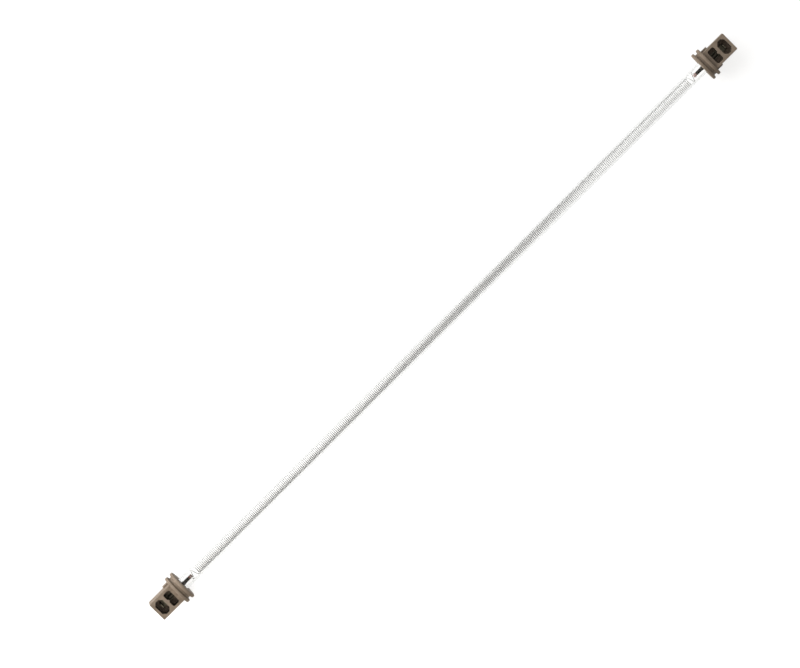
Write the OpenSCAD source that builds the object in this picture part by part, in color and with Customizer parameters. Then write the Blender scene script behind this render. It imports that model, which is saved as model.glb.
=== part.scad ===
// Glass-tube defrost heater: an open resistance coil in a clear tube, with a moulded cap on each end.
// X runs along the tube and Z points up out of the openings. The origin is the middle of the tube's axis.

/* [Glass tube] */
// Length of the glass tube
tube_len = 547; // [300:1:900]
// Outside diameter of the glass tube
tube_d = 9.5; // [8.8:0.1:11]
// Wall thickness of the glass tube
tube_wall = 1.1; // [0.8:0.05:1.2]

/* [Heating coil] */
// Diameter of the resistance wire
wire_d = 0.5; // [0.35:0.05:0.6]
// Room between the coil and the bore of the tube
coil_room = 0.4; // [0.35:0.05:0.5]
// Distance from one turn to the next
coil_pitch = 2.62; // [2.4:0.02:8]
// Least distance from a cap's face to the first close turn
coil_margin = 12.5; // [12:0.5:30]

/* [Lead pins] */
// Reach of a lead pin into the tube, from the cap's face to the ferrule's end
pin_reach = 9; // [7:0.1:11]
// Diameter of the pin at its root
pin_d = 3.2; // [2.8:0.1:3.4]
// Diameter of the crimped barrel of the pin
barrel_d = 2.7; // [2.4:0.1:2.8]
// Length of the thick root outside the cap's face
root_len = 1.5; // [0.8:0.1:2.5]
// Width across the two flats pressed by the crimping tool
crimp_w = 2; // [1.8:0.1:2.4]
// Length of each crimped flat
crimp_len = 1.4; // [0.8:0.1:1.8]
// Distance between the middles of the two crimps
crimp_apart = 2.2; // [2:0.1:2.6]
// Diameter of the spigot that carries the ferrule
spigot_d = 1.6; // [1.2:0.1:1.8]
// Length of the copper ferrule
ferrule_len = 2.7; // [2:0.1:3.5]
// Outside diameter of the copper ferrule
ferrule_d = 2.8; // [2.4:0.1:3]

/* [Cap collar] */
// Diameter of the two round flanges
flange_d = 24; // [22:0.5:32]
// Thickness of each flange
flange_t = 2.4; // [1.8:0.1:4]
// Radius on the rims of the flanges
rim_r = 0.7; // [0.3:0.1:0.8]
// Width of the bracket groove between the flanges
groove_w = 2.4; // [1.6:0.1:4]
// Depth of the bracket groove
groove_depth = 2; // [1:0.1:3]
// Radius along the foot of the bracket groove
groove_fillet = 0.5; // [0.2:0.1:0.7]
// Depth of the seat that takes the tube and its seal
seat_depth = 7; // [5:0.1:9]
// Thickness of the seal under the end of the tube
seal_t = 1; // [0.6:0.1:2]

/* [Connector block] */
// Height of the block above the tube's axis
block_top = 8.5; // [7.5:0.1:11]
// Depth of the block's underside below the tube's axis
block_base = 3.3; // [3:0.1:6]
// Height of the pocket floors above the block's underside
floor_t = 1.5; // [1:0.1:1.6]
// Wall beside the pockets
side_wall = 1.8; // [1.2:0.1:3]
// Wall between the collar's outer face and the inner pocket
inner_wall = 2.7; // [2.6:0.1:6]
// Wall between the two pockets
mid_wall = 2.4; // [1.5:0.1:4]
// Wall at the free end of the block
end_wall = 2.1; // [1.5:0.1:4]
// Radius on the upright corners at the free end
corner_r = 0.6; // [0.3:0.1:1.2]
// Length of the shoulder rib on each side
rib_len = 5.1; // [3:0.1:8]
// Distance that a shoulder rib stands out
rib_out = 1.3; // [0.6:0.1:2]
// Height of the shoulder ribs' upper faces above the tube's axis
rib_top = 0.8; // [0:0.1:4]

/* [Pockets] */
// Width of both pockets, across the tube
pocket_w = 12; // [10:0.1:15]
// Length of the eight-sided plug socket, along the tube
socket_len = 7.4; // [5.5:0.1:9]
// Bevel at the corners of the plug socket
socket_bevel = 2.3; // [1.2:0.1:2.6]
// Length of the inner pocket, along the tube
well_len = 6; // [5:0.1:8]
// Corner radius of the inner pocket
well_r = 1.5; // [0.8:0.1:2.2]
// Height of the keying tooth in the inner pocket
tooth_h = 1.1; // [0.6:0.1:1.5]
// Width of the keying tooth at its root
tooth_w = 2.6; // [1.6:0.1:4]

/* [Terminals] */
// Width of the terminal strip and its tab
tab_w = 4.8; // [4:0.1:6.3]
// Thickness of the terminal strip
tab_t = 0.8; // [0.5:0.1:0.8]
// Distance from the block's upper face down to the tip of the tab
tab_recess = 4.2; // [2:0.1:5]
// Bevel at the two corners of the tab's tip
tab_bevel = 0.9; // [0.4:0.1:1.2]
// Diameter of the latching hole in the tab
tab_hole_d = 1.4; // [1:0.1:1.8]
// Inner radius of the strip's bend
bend_r = 0.4; // [0.2:0.1:0.8]

/* [Assembly] */
// Roll of the left cap about the tube
left_roll = 7; // [0:1:15]
// Roll of the right cap about the tube
right_roll = 0; // [0:1:15]
// Clearance on each side of the tube, the pin and the strip
fit = 0.1; // [0.05:0.01:0.15]

/* [Hidden] */
$fn = 48;
// Margin by which a cut runs past the face that it opens
past = 1;
// Step to which the open half turns are rounded, so that the ends of the wire meet exactly
step = 0.01;
// Amount by which the wire below the axis is thinner all round
ledge = 0.004;

// Distance from the middle of the tube to the inner face of each cap
face_x = tube_len / 2 - (seat_depth - seal_t);
collar_len = 2 * flange_t + groove_w;
bore_d = tube_d - 2 * tube_wall;

// Places along a cap, measured outwards from its inner face
well_x = collar_len + inner_wall;
socket_x = well_x + well_len + mid_wall;
block_end_x = socket_x + socket_len + end_wall;
block_w = pocket_w + 2 * side_wall;

// Levels in a cap, measured from the tube's axis
floor_z = floor_t - block_base;
strip_z = floor_z + tab_t;
tab_tip_z = block_top - tab_recess;

// Radius of the coil's wire line at the two sides of a turn
coil_r = bore_d / 2 - coil_room - wire_d / 2;
// The first and last half turns both run below the axis, so their number is odd
half_turns = 2 * floor((2 * face_x - 2 * coil_margin) / coil_pitch - 0.5) + 1;
coil_len = half_turns * coil_pitch / 2;
// Side of the ferrule where the wire is welded on
weld_y = ferrule_d / 2 + wire_d / 2;
// Two open half turns lead from the coil to the loop that lands on the ferrule
loop_advance = wire_d;
lead_room = face_x - pin_reach + ferrule_len / 2 - coil_len / 2 - loop_advance;
open_advance = floor(lead_room / 2 / step) * step;

// Turns children that stand on Z so that they point along X
module along_x() {
    rotate([0, 90, 0]) children();
}

// Puts a cap's pieces, drawn outwards from the cap's inner face, on the right end
module at_right() {
    rotate([right_roll, 0, 0]) translate([face_x, 0, 0]) children();
}

// Puts the same pieces on the left end, turned end for end
module at_left() {
    rotate([left_roll, 0, 0]) rotate([0, 0, 180]) translate([face_x, 0, 0]) children();
}

// Half a turn of wire about X, between the side y_low and the side y_high, moving on by advance.
// Both ends lie in the level plane and point straight up or down, so any two half turns join smoothly.
// The lower half turns are a hair thinner, so that each end face lies wholly inside the next one.
module half_turn(advance, over, y_low, y_high) {
    width = y_high - y_low;
    tilt = atan(advance / width);
    translate([0, (y_low + y_high) / 2, 0])
        rotate([0, 0, over ? tilt : -tilt])
            rotate(a = 120, v = [1, 1, 1])
                rotate_extrude(angle = 180, start = over ? 0 : 180)
                    translate([width / 2 / cos(tilt), 0])
                        circle(d = over ? wire_d : wire_d - 2 * ledge, $fn = 16);
}

// Two open half turns and the small loop round the ferrule, drawn for the left end
module coil_lead() {
    translate([-coil_len / 2 - open_advance / 2, 0, 0])
        half_turn(open_advance, true, -coil_r, coil_r);
    translate([-coil_len / 2 - open_advance * 3 / 2, 0, 0])
        half_turn(open_advance, false, -coil_r, coil_r);
    translate([-coil_len / 2 - open_advance * 2 - loop_advance / 2, 0, 0])
        half_turn(loop_advance, true, -coil_r, weld_y);
}

module heating_coil() {
    color("gray") {
        for (k = [0 : half_turns - 1])
            translate([(k + 0.5) * coil_pitch / 2 - coil_len / 2, 0, 0])
                half_turn(coil_pitch / 2, k % 2 == 1, -coil_r, coil_r);
        coil_lead();
        rotate([0, 0, 180]) coil_lead();
    }
}

module glass_tube() {
    color("lightcyan", 0.4)
        translate([-tube_len / 2, 0, 0]) along_x() difference() {
            cylinder(d = tube_d, h = tube_len);
            translate([0, 0, -past]) cylinder(d = bore_d, h = tube_len + 2 * past);
        }
}

// Half section of one flange, with its rim rounded
module flange_section() {
    square([flange_d / 2 - rim_r, flange_t]);
    translate([0, rim_r]) square([flange_d / 2, flange_t - 2 * rim_r]);
    for (y = [rim_r, flange_t - rim_r])
        translate([flange_d / 2 - rim_r, y]) circle(r = rim_r);
}

// Half section of the collar: two flanges and the filleted groove between them
module collar_section() {
    groove_r = flange_d / 2 - groove_depth;
    flange_section();
    translate([0, flange_t + groove_w]) flange_section();
    difference() {
        translate([0, flange_t / 2]) square([groove_r + groove_fillet, flange_t + groove_w]);
        translate([groove_r, flange_t + groove_fillet])
            square([groove_depth, groove_w - 2 * groove_fillet]);
        for (y = [flange_t + groove_fillet, flange_t + groove_w - groove_fillet])
            translate([groove_r + groove_fillet, y]) circle(r = groove_fillet);
    }
}

// Plan of the connector block, with the corners at its free end rounded
module block_plan() {
    translate([collar_len, -block_w / 2]) square([block_end_x - collar_len - corner_r, block_w]);
    translate([collar_len, corner_r - block_w / 2])
        square([block_end_x - collar_len, block_w - 2 * corner_r]);
    for (side = [-1, 1])
        translate([block_end_x - corner_r, side * (block_w / 2 - corner_r)]) circle(r = corner_r);
}

// Eight-sided plan of the plug socket
module socket_plan() {
    b = socket_bevel;
    l = socket_len;
    w = pocket_w / 2;
    translate([socket_x, 0])
        polygon([[b, -w], [l - b, -w], [l, b - w], [l, w - b], [l - b, w], [b, w], [0, w - b], [0, b - w]]);
}

// Plan of the inner pocket: rounded corners, and a keying tooth on the side of the plug socket
module well_plan() {
    difference() {
        translate([well_x, -pocket_w / 2]) {
            translate([well_r, 0]) square([well_len - 2 * well_r, pocket_w]);
            translate([0, well_r]) square([well_len, pocket_w - 2 * well_r]);
            for (x = [well_r, well_len - well_r], y = [well_r, pocket_w - well_r])
                translate([x, y]) circle(r = well_r);
        }
        translate([well_x + well_len, 0])
            polygon([
                [past, -tooth_w / 2], [0, -tooth_w / 2], [-tooth_h, 0], [0, tooth_w / 2], [past, tooth_w / 2]
            ]);
    }
}

// Moulded cap: collar, connector block, shoulder ribs, and the ways for the tube, the pin and the strip
module end_cap() {
    color("rosybrown") difference() {
        union() {
            along_x() rotate_extrude($fn = 96) collar_section();
            translate([0, 0, -block_base]) linear_extrude(block_base + block_top) block_plan();
            translate([collar_len, -block_w / 2 - rib_out, -block_base])
                cube([rib_len, block_w + 2 * rib_out, block_base + rib_top]);
        }
        translate([-past, 0, 0]) along_x() cylinder(d = tube_d + 2 * fit, h = seat_depth + past);
        along_x() cylinder(d = pin_d + 2 * fit, h = well_x + past);
        translate([0, 0, floor_z]) linear_extrude(block_top - floor_z + past) {
            socket_plan();
            well_plan();
        }
        translate([socket_x - mid_wall - tooth_h - past, -tab_w / 2 - fit, floor_z])
            cube([mid_wall + tooth_h + 2 * past, tab_w + 2 * fit, tab_t + fit]);
    }
}

// Soft ring between the end of the tube and the bottom of its seat
module tube_seal() {
    color("white") translate([seat_depth - seal_t, 0, 0]) along_x() difference() {
        cylinder(d = tube_d, h = seal_t);
        translate([0, 0, -past]) cylinder(d = pin_d + 2 * fit, h = seal_t + 2 * past);
    }
}

// Lead pin: thick root through the cap, crimped barrel in the tube, and a spigot for the ferrule.
// Its outer end is cut flat and lies on the terminal strip in the inner pocket.
module lead_pin() {
    lap_end = well_x + well_len - tooth_h - 2 * fit;
    crimp_x = -root_len - (pin_reach - ferrule_len - root_len) / 2;
    crimp_z = (crimp_w + pin_d) / 2;
    color("dimgray") difference() {
        union() {
            translate([-root_len, 0, 0]) along_x() cylinder(d = pin_d, h = root_len + lap_end);
            translate([ferrule_len - pin_reach, 0, 0]) along_x()
                cylinder(d = barrel_d, h = pin_reach - ferrule_len);
            translate([-pin_reach, 0, 0]) along_x() cylinder(d = spigot_d, h = pin_reach);
        }
        for (end = [-1, 1], side = [-1, 1])
            translate([crimp_x + (end * crimp_apart - crimp_len) / 2, -pin_d, side * crimp_z - pin_d / 2])
                cube([crimp_len, 2 * pin_d, pin_d]);
        translate([well_x + fit, -pin_d, strip_z - pin_d]) cube([well_len, 2 * pin_d, pin_d]);
    }
}

// Copper sleeve on the end of the pin, to which the coil is welded
module ferrule() {
    color("sandybrown") translate([-pin_reach, 0, 0]) along_x() difference() {
        cylinder(d = ferrule_d, h = ferrule_len);
        translate([0, 0, -past]) cylinder(d = spigot_d, h = ferrule_len + 2 * past);
    }
}

// Side view of the strip and its bend, in the X-Z plane
module strip_section(tab_x) {
    outer_r = bend_r + tab_t;
    start_x = well_x + 2 * fit;
    translate([start_x, floor_z]) square([tab_x + tab_t / 2 - outer_r - start_x, tab_t]);
    translate([tab_x - tab_t / 2, floor_z + outer_r]) square([tab_t, tab_hole_d / 2]);
    translate([tab_x + tab_t / 2 - outer_r, floor_z + outer_r]) intersection() {
        difference() {
            circle(r = outer_r);
            circle(r = bend_r);
        }
        translate([0, -outer_r]) square(outer_r);
    }
}

// Stamped terminal: a flat strip along the pocket floors, bent up into a plug tab
module terminal() {
    tab_x = socket_x + socket_len / 2;
    foot_z = floor_z + bend_r + tab_t;
    color("silver") difference() {
        union() {
            translate([0, tab_w / 2, 0]) rotate([90, 0, 0]) linear_extrude(tab_w) strip_section(tab_x);
            translate([tab_x - tab_t / 2, 0, 0]) rotate([90, 0, 90]) linear_extrude(tab_t)
                polygon([
                    [-tab_w / 2, foot_z], [tab_w / 2, foot_z], [tab_w / 2, tab_tip_z - tab_bevel],
                    [tab_w / 2 - tab_bevel, tab_tip_z], [tab_bevel - tab_w / 2, tab_tip_z],
                    [-tab_w / 2, tab_tip_z - tab_bevel]
                ]);
        }
        translate([tab_x - tab_t, 0, (foot_z + tab_tip_z) / 2]) along_x()
            cylinder(d = tab_hole_d, h = 2 * tab_t, $fn = 24);
    }
}

glass_tube();
heating_coil();
at_left() end_cap();  // left_end_cap
at_right() end_cap();  // right_end_cap
at_left() tube_seal();  // left_tube_seal
at_right() tube_seal();  // right_tube_seal
at_left() lead_pin();  // left_lead_pin
at_right() lead_pin();  // right_lead_pin
at_left() ferrule();  // left_ferrule
at_right() ferrule();  // right_ferrule
at_left() terminal();  // left_terminal
at_right() terminal();  // right_terminal
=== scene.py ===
import math

import bpy
import numpy as np
from mathutils import Matrix, Vector


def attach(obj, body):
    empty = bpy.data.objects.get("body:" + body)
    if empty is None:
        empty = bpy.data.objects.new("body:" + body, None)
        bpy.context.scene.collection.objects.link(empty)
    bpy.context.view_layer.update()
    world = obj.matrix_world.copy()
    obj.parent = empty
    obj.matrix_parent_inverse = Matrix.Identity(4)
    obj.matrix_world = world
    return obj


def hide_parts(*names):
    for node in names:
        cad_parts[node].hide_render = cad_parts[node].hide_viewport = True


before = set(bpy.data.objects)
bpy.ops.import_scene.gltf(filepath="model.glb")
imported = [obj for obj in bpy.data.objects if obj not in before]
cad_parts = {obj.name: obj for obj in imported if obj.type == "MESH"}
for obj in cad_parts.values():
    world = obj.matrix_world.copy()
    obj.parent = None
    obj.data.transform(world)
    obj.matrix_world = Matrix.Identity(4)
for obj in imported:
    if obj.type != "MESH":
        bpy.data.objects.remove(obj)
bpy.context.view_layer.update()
print("frame loaded")


# Skin over rings of points: rows is an array (rings, points round a ring, 3). Neighbouring rings
# are joined by quads, each ring is closed on itself, and an end ring is closed by a fan of
# triangles to its own middle.
def gridMesh(name, rows, closedRows=False):
    ringCount, sides = rows.shape[:2]
    here = np.arange(ringCount * sides).reshape(ringCount, sides)
    nextRow = np.roll(here, -1, axis=0)
    if not closedRows:
        here, nextRow = here[:-1], nextRow[:-1]
    corners = [here, np.roll(here, -1, axis=1), np.roll(nextRow, -1, axis=1), nextRow]
    points = rows.reshape(-1, 3)
    faces = np.stack(corners, axis=-1).reshape(-1, 4).tolist()
    if not closedRows:
        first = np.arange(sides)
        last = first + (ringCount - 1) * sides
        startMiddle, endMiddle = len(points), len(points) + 1
        startFan = [np.roll(first, -1), first, np.full(sides, startMiddle)]
        endFan = [last, np.roll(last, -1), np.full(sides, endMiddle)]
        faces += np.stack(startFan, axis=-1).tolist() + np.stack(endFan, axis=-1).tolist()
        points = np.concatenate([points, [rows[0].mean(axis=0), rows[-1].mean(axis=0)]])
    mesh = bpy.data.meshes.new(name)
    mesh.from_pydata(points.tolist(), [], faces)
    mesh.update()
    piece = bpy.data.objects.new(name, mesh)
    bpy.context.scene.collection.objects.link(piece)
    return piece


# Smooth shading, with an edge kept sharp where its two faces turn by more than the angle.
def smoothShade(piece, angle):
    mesh = piece.data
    mesh.polygons.foreach_set("use_smooth", np.ones(len(mesh.polygons), dtype=bool))
    mesh.set_sharp_from_angle(angle=math.radians(angle))
    return piece


# A cap's own points on its end of the heater: turned end for end about Z on the left, then rolled
# about X.
def turned(points, roll, left):
    points = points * np.array([-1.0, -1.0, 1.0]) if left else points
    c, s = math.cos(math.radians(roll)), math.sin(math.radians(roll))
    x, y, z = points[..., 0], points[..., 1], points[..., 2]
    return np.stack([x, y * c - z * s, y * s + z * c], axis=-1)


# A smooth step from 0 to 1: three times the square less twice the cube.
def ease(t):
    t = np.clip(t, 0, 1)
    return t * t * (3 - 2 * t)


heater = {
    "faceX": 0.2675,         # from the middle to a cap's inner face
    "leftRoll": 7,
    "rightRoll": 0,
}

coil = {
    "wireRadius": 0.00025,
    "turnRadius": 0.0030,    # from the axis to the middle of the wire
    "closeLength": 0.50697,
    "halfTurns": 775,
    "leadTurns": 3,          # open half turns at each end, the last one round the ferrule
    "openAdvance": 0.00293,  # along the tube, for one open half turn
    "loopAdvance": 0.0005,   # for the half turn that lands on the ferrule
    "weldRadius": 0.00165,
    "advancePlaces": (0, 0.8, 1.3, 2.7, 3.4),  # half turns from the weld, where the advance changes
    "sway": 0.00016,
    "swayWaves": (9, 13),    # across and up, in radians for each metre of the tube
    "swayStart": 0.5,
    "swaySettle": 30,        # half turns over which the sway comes in
    "leanPlaces": (-0.25, -0.14, -0.06, 0.01, 0.09, 0.16, 0.25),
    "leans": (0.015, -0.021, -0.015, 0.016, 0.033, 0.085, 0.110),  # how steeply a turn's top leads
    "leanSettle": 4,
    "ringsPerHalfTurn": 12,
    "sides": 8,
    "sharpFrom": 80,         # degrees between two faces
}


# Middle line of the wire. With p counted in half turns from the left weld, y is R cos(pi p) and z
# is R sin(pi p). R grows from the weld to the coil over the first half turn and shrinks again
# over the last. x is the running sum of the advance, which eases between the loop, the open turns
# and the close turns, plus the lean of the turns.
def wireLine():
    total = coil["halfTurns"] + 2 * coil["leadTurns"]
    p = np.linspace(0, total, total * coil["ringsPerHalfTurn"] + 1)
    fromEnd = np.minimum(p, total - p)
    close = coil["closeLength"] / coil["halfTurns"]
    loop, opened = coil["loopAdvance"], coil["openAdvance"]
    advance = np.interp(fromEnd, coil["advancePlaces"], (loop, loop, opened, opened, close))
    x = np.concatenate([[0], np.cumsum((advance[1:] + advance[:-1]) / 2) * (p[1] - p[0])])
    reach = coil["closeLength"] / 2 + 2 * opened + loop
    x = (x / x[-1] * 2 - 1) * reach
    radius = coil["weldRadius"] + (coil["turnRadius"] - coil["weldRadius"]) * ease(fromEnd)
    free = coil["sway"] * ease((fromEnd - coil["leadTurns"]) / coil["swaySettle"])
    waveY, waveZ = coil["swayWaves"]
    swayY = free * np.sin(x * waveY + coil["swayStart"])
    swayZ = free * (np.cos(x * waveZ) - 1)
    y = radius * np.cos(math.pi * p) + swayY
    z = radius * np.sin(math.pi * p) + swayZ
    lean = np.interp(x, coil["leanPlaces"], coil["leans"]) * ease(fromEnd / coil["leanSettle"])
    x = x + z * lean
    return p, np.stack([x, y, z], axis=-1)


# The wire: a ring of points round the middle line, in the plane of the outward direction and the
# direction square to both it and the line.
def heatingCoilPiece():
    p, line = wireLine()
    along = np.gradient(line, axis=0)
    along /= np.linalg.norm(along, axis=1, keepdims=True)
    out = np.stack([np.zeros_like(p), np.cos(math.pi * p), np.sin(math.pi * p)], axis=-1)
    out -= along * np.sum(out * along, axis=1, keepdims=True)
    out /= np.linalg.norm(out, axis=1, keepdims=True)
    side = np.cross(along, out)
    a = np.arange(coil["sides"]) / coil["sides"] * 2 * math.pi
    rings = line[:, None] + coil["wireRadius"] * (
        np.cos(a)[None, :, None] * out[:, None] + np.sin(a)[None, :, None] * side[:, None])
    return smoothShade(gridMesh("coil", rings), coil["sharpFrom"])


tube = {
    "length": 0.547,
    "outer": 0.00475,
    "bore": 0.00365,
    "lip": 0.00035,          # radius melted on to the cut ends
    "lipSteps": 7,
    "sides": 96,
    "rings": 40,
    "sharpFrom": 60,
}


# The glass: a closed profile of outer wall, rounded lip, bore and rounded lip, turned about X.
# The lip's corners are quarter circles.
def glassTubePiece():
    half, lip = tube["length"] / 2, tube["lip"]
    q = np.linspace(0, math.pi / 2, tube["lipSteps"])
    outX = np.linspace(-half + lip, half - lip, tube["rings"])
    profileX = np.concatenate([
        outX, half - lip + lip * np.sin(q[1:]), half - lip + lip * np.cos(q[:-1]),
        outX[::-1], -half + lip - lip * np.sin(q[1:]), -half + lip - lip * np.cos(q[:-1])])
    profileR = np.concatenate([
        np.full(tube["rings"], tube["outer"]), tube["outer"] - lip + lip * np.cos(q[1:]),
        tube["bore"] + lip - lip * np.sin(q[:-1]),
        np.full(tube["rings"], tube["bore"]), tube["bore"] + lip - lip * np.cos(q[1:]),
        tube["outer"] - lip + lip * np.sin(q[:-1])])
    a = np.arange(tube["sides"]) / tube["sides"] * 2 * math.pi
    rings = np.stack([
        np.broadcast_to(profileX[:, None], (len(profileX), len(a))),
        profileR[:, None] * np.cos(a), profileR[:, None] * np.sin(a)], axis=-1)
    return smoothShade(gridMesh("glassTube", rings, closedRows=True), tube["sharpFrom"])


pin = {
    "reach": 0.009,
    "root": 0.0016,
    "barrel": 0.00135,
    "spigot": 0.0008,
    "rootLength": 0.0015,
    "ferruleLength": 0.0027,
    "crimpDepth": 0.00035,
    "crimpLength": 0.0014,
    "crimpApart": 0.0022,
    "bulge": 0.06,           # share by which a crimp widens the barrel
    "lapEnd": 0.0146,        # outer end, in the inner pocket
    "lapFrom": 0.0100,
    "lapLevel": -0.0010,
    "chamfer": 0.0002,
    "step": 0.000001,        # the length in which a shoulder or a cut stands up
    "spigotNose": 0.8,       # share of the full radius left at the spigot's tip
    "barrelFoot": 0.86,      # the same at the foot of the barrel
    "lapNose": 0.85,         # the same at the end of the lap
    "crimpStations": 60,
    "sides": 32,
    "sharpFrom": 35,
}


# A lead pin: circles of the station's radius set along X, where the stations step from the spigot
# to the barrel and the root by short cones. Over each crimp the height is pressed in by a raised
# cosine, and from the pocket on the underside is cut flat at the strip's level.
def leadPinPiece(name, roll, left):
    reach, chamfer, step = pin["reach"], pin["chamfer"], pin["step"]
    foot, shoulder = pin["ferruleLength"] - reach, -pin["rootLength"]
    knots = np.array([
        [-reach, pin["spigot"] * pin["spigotNose"]],
        [-reach + chamfer, pin["spigot"]],
        [foot, pin["spigot"]],
        [foot + step, pin["barrel"] * pin["barrelFoot"]],
        [foot + chamfer, pin["barrel"]],
        [shoulder - chamfer, pin["barrel"]],
        [shoulder + chamfer, pin["root"]],
        [pin["lapEnd"] - chamfer, pin["root"]],
        [pin["lapEnd"], pin["root"] * pin["lapNose"]]])
    crimps = np.linspace(foot, shoulder, pin["crimpStations"])
    cut = [pin["lapFrom"] - step, pin["lapFrom"]]
    stations = np.unique(np.concatenate([knots[:, 0], crimps, cut]))
    radius = np.interp(stations, knots[:, 0], knots[:, 1])
    middle = (foot + shoulder) / 2
    away = np.abs(np.abs(stations - middle) - pin["crimpApart"] / 2) / (pin["crimpLength"] / 2)
    press = 0.5 + 0.5 * np.cos(math.pi * np.clip(away, 0, 1))
    a = np.arange(pin["sides"]) / pin["sides"] * 2 * math.pi
    y = radius[:, None] * np.cos(a) * (1 + pin["bulge"] * press[:, None])
    roof = (radius - pin["crimpDepth"] * press)[:, None]
    z = np.clip(radius[:, None] * np.sin(a), -roof, roof)
    inPocket = (stations >= pin["lapFrom"])[:, None]
    z = np.where(inPocket, np.maximum(z, pin["lapLevel"]), z)
    x = np.broadcast_to(stations[:, None], y.shape) + heater["faceX"]
    rings = turned(np.stack([x, y, z], axis=-1), roll, left)
    return smoothShade(gridMesh(name, rings), pin["sharpFrom"])


ferrule = {
    "outer": 0.0014,
    "round": 0.0003,
    "squeeze": 0.05,         # share by which the sleeve narrows where the wire is welded on
    "squeezeLength": 0.0006,
    "roundSteps": 6,
    "stations": 12,
    "sides": 40,
    "sharpFrom": 50,
}


# A copper sleeve: a closed profile of outside, rounded ends and bore, turned about X, narrowed by
# a bell curve at the weld.
def ferrulePiece(name, roll, left):
    x0, x1 = -pin["reach"], -pin["reach"] + pin["ferruleLength"]
    r, e = ferrule["outer"], ferrule["round"]
    q = np.linspace(0, math.pi / 2, ferrule["roundSteps"])
    straight = np.linspace(x0 + e, x1 - e, ferrule["stations"])[1:-1]
    profileX = np.concatenate([x0 + e - e * np.cos(q), straight, x1 - e + e * np.sin(q), [x1, x0]])
    profileR = np.concatenate([
        r - e + e * np.sin(q), np.full(len(straight), r), r - e + e * np.cos(q),
        [pin["spigot"], pin["spigot"]]])
    a = np.arange(ferrule["sides"]) / ferrule["sides"] * 2 * math.pi
    bell = np.exp(-((profileX - (x0 + x1) / 2) / ferrule["squeezeLength"]) ** 2)[:, None]
    narrow = 1 - ferrule["squeeze"] * bell * np.abs(np.cos(a))
    rings = np.stack([
        np.broadcast_to(profileX[:, None], narrow.shape) + heater["faceX"],
        profileR[:, None] * np.cos(a) * narrow, profileR[:, None] * np.sin(a)], axis=-1)
    rings = turned(rings, roll, left)
    return smoothShade(gridMesh(name, rings, closedRows=True), ferrule["sharpFrom"])


def startMaterial(name):
    material = bpy.data.materials.new(name)
    material.use_nodes = True
    tree = material.node_tree
    tree.nodes.clear()
    shader = tree.nodes.new("ShaderNodeBsdfPrincipled")
    output = tree.nodes.new("ShaderNodeOutputMaterial")
    tree.links.new(shader.outputs[0], output.inputs[0])
    return material, tree, shader, output


# Puts a value on a socket: another socket is linked, a number or colour is set.
def feed(tree, socket, value):
    if isinstance(value, bpy.types.NodeSocket):
        tree.links.new(value, socket)
    elif isinstance(value, tuple):
        socket.default_value = (*value, 1)
    else:
        socket.default_value = value


# Points of the piece in metres, stretched along its own axes.
def objectPoints(tree, stretch=(1, 1, 1)):
    place = tree.nodes.new("ShaderNodeTexCoord")
    mapping = tree.nodes.new("ShaderNodeMapping")
    mapping.inputs["Scale"].default_value = stretch
    tree.links.new(place.outputs["Object"], mapping.inputs["Vector"])
    return mapping.outputs["Vector"]


def noise(tree, points, scale, detail=3, roughness=0.55):
    node = tree.nodes.new("ShaderNodeTexNoise")
    node.inputs["Scale"].default_value = scale
    node.inputs["Detail"].default_value = detail
    node.inputs["Roughness"].default_value = roughness
    tree.links.new(points, node.inputs["Vector"])
    return node.outputs["Fac"]


# One sum on one or two numbers.
def reckon(tree, operation, *numbers):
    node = tree.nodes.new("ShaderNodeMath")
    node.operation = operation
    for socket, number in zip(node.inputs, numbers):
        feed(tree, socket, number)
    return node.outputs[0]


# A colour ramp from a list of (place, colour).
def ramp(tree, factor, stops):
    node = tree.nodes.new("ShaderNodeValToRGB")
    band = node.color_ramp
    while len(band.elements) < len(stops):
        band.elements.new(0.5)
    for element, (place, colour) in zip(band.elements, stops):
        element.position = place
        element.color = (*colour, 1)
    tree.links.new(factor, node.inputs["Fac"])
    return node.outputs["Color"]


# A number that runs from low to high as the factor runs from start to end.
def between(tree, factor, low, high, start=0.0, end=1.0):
    node = tree.nodes.new("ShaderNodeMapRange")
    for socket, value in zip(("From Min", "From Max", "To Min", "To Max"), (start, end, low, high)):
        node.inputs[socket].default_value = value
    tree.links.new(factor, node.inputs["Value"])
    return node.outputs["Result"]


def mixColour(tree, factor, first, second, kind="MIX"):
    node = tree.nodes.new("ShaderNodeMix")
    node.data_type = "RGBA"
    node.blend_type = kind
    feed(tree, node.inputs[0], factor)
    feed(tree, node.inputs[6], first)
    feed(tree, node.inputs[7], second)
    return node.outputs[2]


def bump(tree, height, strength, distance, normal=None):
    node = tree.nodes.new("ShaderNodeBump")
    node.inputs["Strength"].default_value = strength
    node.inputs["Distance"].default_value = distance
    tree.links.new(height, node.inputs["Height"])
    if normal is not None:
        tree.links.new(normal, node.inputs["Normal"])
    return node.outputs["Normal"]


capLook = {
    "dark": (0.168, 0.126, 0.089),
    "mid": (0.250, 0.193, 0.143),
    "pale": (0.315, 0.25, 0.193),
    "worn": (0.40, 0.34, 0.285),
    # Painted shade: the colour mixed into the deep pockets of a cap, where shade falls.
    "paintedShade": (0.020, 0.016, 0.007),
    "rightPaintedShade": 0.2,        # share of the left cap's painted pocket shade
    "cloudScale": 180,
    "streakScale": 288,
    "streakStretch": (0.35, 1, 1),
    "streakShare": 0.5,
    "grainScale": 2600,
    "grainTones": (0.55, 1.0, 1.25),
    "grainShare": 0.5,
    "grainBump": 0.35,
    "grainDepth": 0.00006,
    "edgeRadius": 0.00025,
    "edgeSamples": 6,
    "edgeTurn": (0.995, 0.80),  # cosines where the wear of an edge starts and is full
    "wear": (0.1, 0.9),
    "roughness": (0.5, 0.8),
    "mirror": 0.35,
    "pocketFrom": 0.2772,    # along the tube, where the inner pocket starts
    "pocketTo": 0.2942,
    "pocketHalfWidth": 0.0063,
    "pocketRim": 0.0084,
    "pocketDepth": 0.0030,   # below the rim, where the painted shade is full
    "pocketFloor": 0.0012,
}
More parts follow.
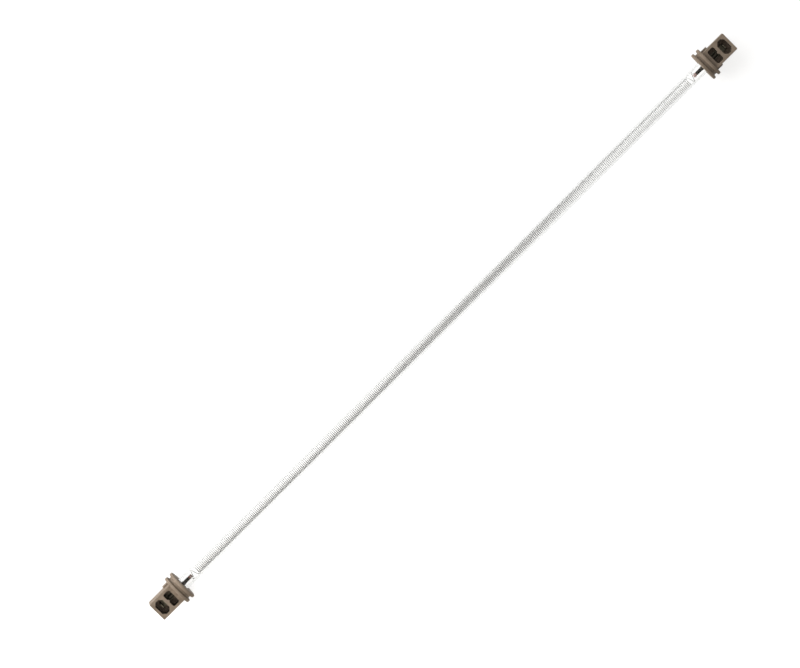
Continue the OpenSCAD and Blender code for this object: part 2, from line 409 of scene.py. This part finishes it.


# How much painted shade the moulding gets: 1 deep in the two pockets of a cap, fading to 0 at
# the rims, in place of the shade in these recesses. The left cap's roll is taken off first.
def pocketPaintedShade(tree):
    split = tree.nodes.new("ShaderNodeSeparateXYZ")
    tree.links.new(objectPoints(tree), split.inputs[0])
    x, y, z = split.outputs
    slope = math.tan(math.radians(heater["leftRoll"]))
    roll = reckon(tree, "MULTIPLY", reckon(tree, "LESS_THAN", x, 0.0), slope)
    across = reckon(tree, "ABSOLUTE", reckon(tree, "ADD", y, reckon(tree, "MULTIPLY", z, roll)))
    height = reckon(tree, "SUBTRACT", z, reckon(tree, "MULTIPLY", y, roll))
    out = reckon(tree, "ABSOLUTE", x)
    full = capLook["pocketRim"] - capLook["pocketDepth"]
    paintedShade = between(tree, height, 1.0, 0.0, full, capLook["pocketRim"])
    amount = between(tree, reckon(tree, "GREATER_THAN", x, 0.0), 1.0, capLook["rightPaintedShade"])
    paintedShade = reckon(tree, "MULTIPLY", paintedShade, amount)
    for limit in (
            reckon(tree, "GREATER_THAN", out, capLook["pocketFrom"]),
            reckon(tree, "LESS_THAN", out, capLook["pocketTo"]),
            reckon(tree, "LESS_THAN", across, capLook["pocketHalfWidth"]),
            reckon(tree, "GREATER_THAN", height, capLook["pocketFloor"])):
        paintedShade = reckon(tree, "MULTIPLY", paintedShade, limit)
    return paintedShade


# Mineral-filled moulding: cloudy taupe with flow streaks, a fine pebbled grain, edges rubbed
# paler, and painted shade darkening the pockets.
def capMoulding():
    material, tree, shader, output = startMaterial("capMoulding")
    points = objectPoints(tree)
    streaks = noise(tree, objectPoints(tree, capLook["streakStretch"]), capLook["streakScale"], 4)
    clouds = noise(tree, points, capLook["cloudScale"], 5, 0.6)
    grain = noise(tree, points, capLook["grainScale"], 4, 0.65)
    colour = ramp(tree, clouds, [
        (0.3, capLook["dark"]), (0.5, capLook["mid"]), (0.72, capLook["pale"])])
    colour = mixColour(
        tree, between(tree, streaks, 0.0, capLook["streakShare"]), colour, capLook["mid"])
    pits, flats, peaks = ((tone, tone, tone) for tone in capLook["grainTones"])
    specks = ramp(tree, grain, [(0.38, pits), (0.5, flats), (0.66, peaks)])
    colour = mixColour(tree, capLook["grainShare"], colour, specks, "MULTIPLY")
    rounded = tree.nodes.new("ShaderNodeBevel")
    rounded.samples = capLook["edgeSamples"]
    rounded.inputs["Radius"].default_value = capLook["edgeRadius"]
    geometry = tree.nodes.new("ShaderNodeNewGeometry")
    turn = tree.nodes.new("ShaderNodeVectorMath")
    turn.operation = "DOT_PRODUCT"
    tree.links.new(rounded.outputs["Normal"], turn.inputs[0])
    tree.links.new(geometry.outputs["True Normal"], turn.inputs[1])
    edge = between(tree, turn.outputs["Value"], 0.0, 1.0, *capLook["edgeTurn"])
    wear = reckon(tree, "MULTIPLY", edge, between(tree, clouds, *capLook["wear"]))
    colour = mixColour(tree, wear, colour, capLook["worn"])
    # Painted shade: the pockets darkened towards their floors, in place of their shade.
    colour = mixColour(tree, pocketPaintedShade(tree), colour, capLook["paintedShade"])
    tree.links.new(colour, shader.inputs["Base Color"])
    tree.links.new(between(tree, grain, *capLook["roughness"]), shader.inputs["Roughness"])
    shader.inputs["Specular IOR Level"].default_value = capLook["mirror"]
    pebbles = bump(
        tree, grain, capLook["grainBump"], capLook["grainDepth"], rounded.outputs["Normal"])
    tree.links.new(pebbles, shader.inputs["Normal"])
    return material


glassLook = {
    "clear": (0.985, 0.987, 0.984),
    "limb": (0.66, 0.665, 0.66),
    "edge": (0.58, 0.585, 0.58),
    "lamps": (0.95, 0.96, 0.955),
    "mirror": (0.35, 0.35, 0.35),    # share of the plain glass's mirroring
    "bend": 1.47,            # index of refraction
    "roughness": 0.006,
    "drawScale": 900,
    "drawStretch": (0.02, 1, 1),
}


# Drawn glass: clear, greyer where it is seen edge on, with faint streaks along the draw in its
# polish. Lamps pass straight through it, so that they reach the coil.
def clearGlass():
    material, tree, shader, output = startMaterial("clearGlass")
    streaks = noise(tree, objectPoints(tree, glassLook["drawStretch"]), glassLook["drawScale"], 3)
    facing = tree.nodes.new("ShaderNodeLayerWeight")
    facing.inputs["Blend"].default_value = 0.5
    tint = ramp(tree, facing.outputs["Facing"], [
        (0.30, glassLook["clear"]), (0.42, glassLook["limb"]), (0.80, glassLook["edge"])])
    tree.links.new(tint, shader.inputs["Base Color"])
    shader.inputs["Transmission Weight"].default_value = 1
    shader.inputs["IOR"].default_value = glassLook["bend"]
    shader.inputs["Specular Tint"].default_value = (*glassLook["mirror"], 1)
    polish = between(tree, streaks, 0.0, glassLook["roughness"], 0.45, 0.75)
    tree.links.new(polish, shader.inputs["Roughness"])
    lampWay = tree.nodes.new("ShaderNodeBsdfTransparent")
    lampWay.inputs[0].default_value = (*glassLook["lamps"], 1)
    path = tree.nodes.new("ShaderNodeLightPath")
    mix = tree.nodes.new("ShaderNodeMixShader")
    tree.links.new(path.outputs["Is Shadow Ray"], mix.inputs[0])
    tree.links.new(shader.outputs[0], mix.inputs[1])
    tree.links.new(lampWay.outputs[0], mix.inputs[2])
    tree.links.new(mix.outputs[0], output.inputs[0])
    return material


metalLook = {
    "filmCoarser": 0.22,     # scale of the oxide film's clouds, as a share of the marks' scale
    "filmShare": 0.25,       # share of the clouds where a piece has a paler side
    "scratch": (0.72, 0.72, 0.72),
    "crest": (1.1, 1.1, 1.1),
    "markShare": 0.8,
    "markBump": 0.4,
    "markDepth": 0.00002,
}


# A metal with a cloudy oxide film, fine drawing marks and a roughness that follows them. Shine is
# the colour that it takes where it is seen edge on.
def oxidisedMetal(name, look, paler=None):
    material, tree, shader, output = startMaterial(name)
    marks = noise(tree, objectPoints(tree, look["stretch"]), look["scale"], 4, 0.6)
    clouds = noise(tree, objectPoints(tree), look["scale"] * metalLook["filmCoarser"], 3)
    film = between(tree, clouds, 0.0, 1.0, 0.3, 0.7)
    if paler is not None:
        film = reckon(tree, "MULTIPLY", film, metalLook["filmShare"])
        film = reckon(tree, "ADD", film, paler(tree))
    colour = mixColour(tree, film, look["dark"], look["pale"])
    shade = ramp(tree, marks, [(0.3, metalLook["scratch"]), (0.7, metalLook["crest"])])
    colour = mixColour(tree, metalLook["markShare"], colour, shade, "MULTIPLY")
    tree.links.new(colour, shader.inputs["Base Color"])
    shader.inputs["Metallic"].default_value = 1
    shader.inputs["Specular Tint"].default_value = (*look["shine"], 1)
    tree.links.new(between(tree, marks, *look["roughness"]), shader.inputs["Roughness"])
    scratches = bump(tree, marks, metalLook["markBump"], metalLook["markDepth"])
    tree.links.new(scratches, shader.inputs["Normal"])
    return material


wireLook = {
    "dark": (0.27, 0.265, 0.258),
    "pale": (0.56, 0.555, 0.55),
    "shine": (0.6, 0.6, 0.6),
    "roughness": (0.35, 0.55),
    "scale": 3500,
    "stretch": (1, 1, 1),
    "rightPaler": 0.7,
    "rightPlaces": (0.06, 0.24),  # along the tube, where it starts to pale and is palest
}

pinLook = {
    "dark": (0.011, 0.009, 0.007),
    "pale": (0.10, 0.088, 0.068),
    "shine": (0.15, 0.15, 0.15),
    "roughness": (0.45, 0.7),
    "scale": 2600,
    "stretch": (0.3, 1, 1),
    "pocketPaler": 0.6,
}

ferruleLook = {
    "dark": (0.05, 0.016, 0.008),
    "pale": (0.42, 0.28, 0.25),
    "shine": (0.5, 0.45, 0.45),
    "roughness": (0.3, 0.5),
    "scale": 2200,
    "stretch": (1, 0.4, 0.4),
    "rightPaler": 0.8,
}

terminalLook = {
    "dark": (0.06, 0.054, 0.037),
    "pale": (0.12, 0.11, 0.082),
    "shine": (0.5, 0.5, 0.5),
    "roughness": (0.4, 0.6),
    "scale": 2400,
    "stretch": (0.25, 1, 1),
}


# The wire is less oxidised towards the right end.
def rightTurnsPaler(tree):
    split = tree.nodes.new("ShaderNodeSeparateXYZ")
    tree.links.new(objectPoints(tree), split.inputs[0])
    return between(tree, split.outputs[0], 0.0, wireLook["rightPaler"], *wireLook["rightPlaces"])


# The right ferrule has kept more of its copper than the left one, which is burnt brown.
def rightSidePaler(tree):
    split = tree.nodes.new("ShaderNodeSeparateXYZ")
    tree.links.new(objectPoints(tree), split.inputs[0])
    onRight = reckon(tree, "GREATER_THAN", split.outputs[0], 0.0)
    return reckon(tree, "MULTIPLY", onRight, ferruleLook["rightPaler"])


# A lead pin is burnt black in the tube and has stayed brown in the pocket.
def pocketEndPaler(tree):
    split = tree.nodes.new("ShaderNodeSeparateXYZ")
    tree.links.new(objectPoints(tree), split.inputs[0])
    out = reckon(tree, "ABSOLUTE", split.outputs[0])
    inPocket = reckon(tree, "GREATER_THAN", out, heater["faceX"] + pin["lapFrom"])
    return reckon(tree, "MULTIPLY", inPocket, pinLook["pocketPaler"])


sealLook = {
    "dark": (0.52, 0.50, 0.46),
    "pale": (0.66, 0.64, 0.60),
    "dust": (0.4, 0.38, 0.34),
    "dustShare": 0.25,
    "dustScale": 1800,
    "cloudScale": 300,
    "roughness": (0.55, 0.8),
    "dustBump": 0.3,
    "dustDepth": 0.00003,
}


# Silicone: off-white and matt with fine dust.
def sealRubber():
    material, tree, shader, output = startMaterial("sealRubber")
    points = objectPoints(tree)
    dust = noise(tree, points, sealLook["dustScale"], 4)
    clouds = noise(tree, points, sealLook["cloudScale"], 3)
    colour = ramp(tree, clouds, [(0.35, sealLook["dark"]), (0.7, sealLook["pale"])])
    colour = mixColour(
        tree, between(tree, dust, 0, sealLook["dustShare"]), colour, sealLook["dust"])
    tree.links.new(colour, shader.inputs["Base Color"])
    tree.links.new(between(tree, dust, *sealLook["roughness"]), shader.inputs["Roughness"])
    specks = bump(tree, dust, sealLook["dustBump"], sealLook["dustDepth"])
    tree.links.new(specks, shader.inputs["Normal"])
    return material


looks = {
    "cap_moulding": capMoulding(),
    "clear_glass": clearGlass(),
    "resistance_wire": oxidisedMetal("resistanceWire", wireLook, rightTurnsPaler),
    "pin_metal": oxidisedMetal("pinMetal", pinLook, pocketEndPaler),
    "ferrule_copper": oxidisedMetal("ferruleCopper", ferruleLook, rightSidePaler),
    "terminal_metal": oxidisedMetal("terminalMetal", terminalLook),
    "seal_rubber": sealRubber(),
}
print("materials made")


# A CAD body that stays as it is takes its finish in all its slots.
def finishBody(nodeName, slotName):
    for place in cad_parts[nodeName].material_slots:
        place.material = looks[slotName]


# A new piece takes its finish and stands on the object in the place of a CAD body.
def setPiece(piece, slotName, nodeName):
    piece.data.materials.append(looks[slotName])
    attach(piece, "root")
    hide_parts(nodeName)


setPiece(heatingCoilPiece(), "resistance_wire", "heating_coil")
setPiece(glassTubePiece(), "clear_glass", "glass_tube")
for side, left in (("left", True), ("right", False)):
    roll = heater[side + "Roll"]
    setPiece(leadPinPiece(side + "LeadPin", roll, left), "pin_metal", side + "_lead_pin")
    setPiece(ferrulePiece(side + "Ferrule", roll, left), "ferrule_copper", side + "_ferrule")
    finishBody(side + "_end_cap", "cap_moulding")
    finishBody(side + "_tube_seal", "seal_rubber")
    finishBody(side + "_terminal", "terminal_metal")
print("pieces made")


studio = {
    "floorLevel": -0.0121,
    "floorSize": 6.0,
    "floorColour": (0.62, 0.62, 0.62),
    "floorFibres": 700,
    "fibreTone": 0.985,
    "floorRoughness": 0.9,
    "floorMirror": 0.1,
    "floorLift": 0.68,       # light added for the eye alone, so that the floor shows white
    "worldLight": 0.29,
}


# 1 for rays from the camera, from a mirror and through glass, and 0 for the rays that light the
# object.
def seenDirectly(tree):
    path = tree.nodes.new("ShaderNodeLightPath")
    seen = reckon(tree, "MAXIMUM", path.outputs["Is Camera Ray"], path.outputs["Is Glossy Ray"])
    return reckon(tree, "MAXIMUM", seen, path.outputs["Is Transmission Ray"])


def makeFloor():
    size, level = studio["floorSize"] / 2, studio["floorLevel"]
    mesh = bpy.data.meshes.new("floor")
    corners = [
        (-size, -size, level), (size, -size, level), (size, size, level), (-size, size, level)]
    mesh.from_pydata(corners, [], [(0, 1, 2, 3)])
    floor = bpy.data.objects.new("floor", mesh)
    bpy.context.scene.collection.objects.link(floor)
    material, tree, shader, output = startMaterial("paleFloor")
    shader.inputs["Roughness"].default_value = studio["floorRoughness"]
    shader.inputs["Specular IOR Level"].default_value = studio["floorMirror"]
    fibres = noise(tree, objectPoints(tree), studio["floorFibres"], 3)
    paper = studio["floorColour"]
    shade = tuple(v * studio["fibreTone"] for v in paper)
    tree.links.new(ramp(tree, fibres, [(0.3, shade), (0.7, paper)]), shader.inputs["Base Color"])
    shader.inputs["Emission Color"].default_value = (1, 1, 1, 1)
    lift = between(tree, seenDirectly(tree), 0.0, studio["floorLift"])
    tree.links.new(lift, shader.inputs["Emission Strength"])
    mesh.materials.append(material)


def makeWorld():
    world = bpy.data.worlds.new("studio")
    bpy.context.scene.world = world
    world.use_nodes = True
    tree = world.node_tree
    tree.nodes.clear()
    background = tree.nodes.new("ShaderNodeBackground")
    output = tree.nodes.new("ShaderNodeOutputWorld")
    background.inputs["Color"].default_value = (1, 1, 1, 1)
    strength = between(tree, seenDirectly(tree), studio["worldLight"], 1.0)
    tree.links.new(strength, background.inputs["Strength"])
    tree.links.new(background.outputs[0], output.inputs[0])


lamps = {
    "keyLamp": {
        "place": (-0.7, 1.45, 1.1), "aim": (0, 0, 0), "size": (2.8, 2.2),
        "power": 33, "colour": (1, 1, 1)},
    "sideLamp": {
        "place": (-0.95, 0.75, 0.25), "aim": (-0.2, 0, 0), "size": (1.6, 0.4),
        "power": 9, "colour": (1, 1, 1)},
    "fillLamp": {
        "place": (-0.55, -0.3, 0.6), "aim": (-0.28, 0, 0), "size": (0.5, 0.5),
        "power": 1.9, "colour": (1, 0.93, 0.80)},
}


# A rectangle of light at its place, facing its aim.
def areaLamp(name, place, aim, size, power, colour):
    lamp = bpy.data.lights.new(name, "AREA")
    lamp.shape = "RECTANGLE"
    lamp.size, lamp.size_y = size
    lamp.energy = power
    lamp.color = colour
    holder = bpy.data.objects.new(name, lamp)
    bpy.context.scene.collection.objects.link(holder)
    holder.location = place
    holder.rotation_euler = (Vector(aim) - Vector(place)).to_track_quat("-Z", "Y").to_euler()


view = {
    "place": (0.140, 0.216, 4.6),
    "aim": (-0.0258, 0.01778, 0.0),  # seen at the middle of the picture
    "roll": 44.89,                   # angle of the heater above the level, in the picture
    "lens": 283.8,
    "sensor": 36,
}


# Camera looking down from its place to its aim, rolled so that +X points up and to the right by
# the roll.
def makeCamera():
    data = bpy.data.cameras.new("photoCamera")
    data.lens, data.sensor_width = view["lens"], view["sensor"]
    data.clip_start, data.clip_end = 0.05, 20
    camera = bpy.data.objects.new("photoCamera", data)
    bpy.context.scene.collection.objects.link(camera)
    back = (Vector(view["place"]) - Vector(view["aim"])).normalized()
    r = math.radians(view["roll"])
    right = Vector((math.cos(r), -math.sin(r), 0))
    right = (right - back * right.dot(back)).normalized()
    up = back.cross(right)
    turn = Matrix((right, up, back)).transposed().to_4x4()
    camera.matrix_world = Matrix.Translation(Vector(view["place"])) @ turn
    bpy.context.scene.camera = camera


makeFloor()
makeWorld()
for lampName, lampValues in lamps.items():
    areaLamp(lampName, **lampValues)
makeCamera()
bpy.context.scene.view_settings.view_transform = "Standard"
print("floor, light and camera made")
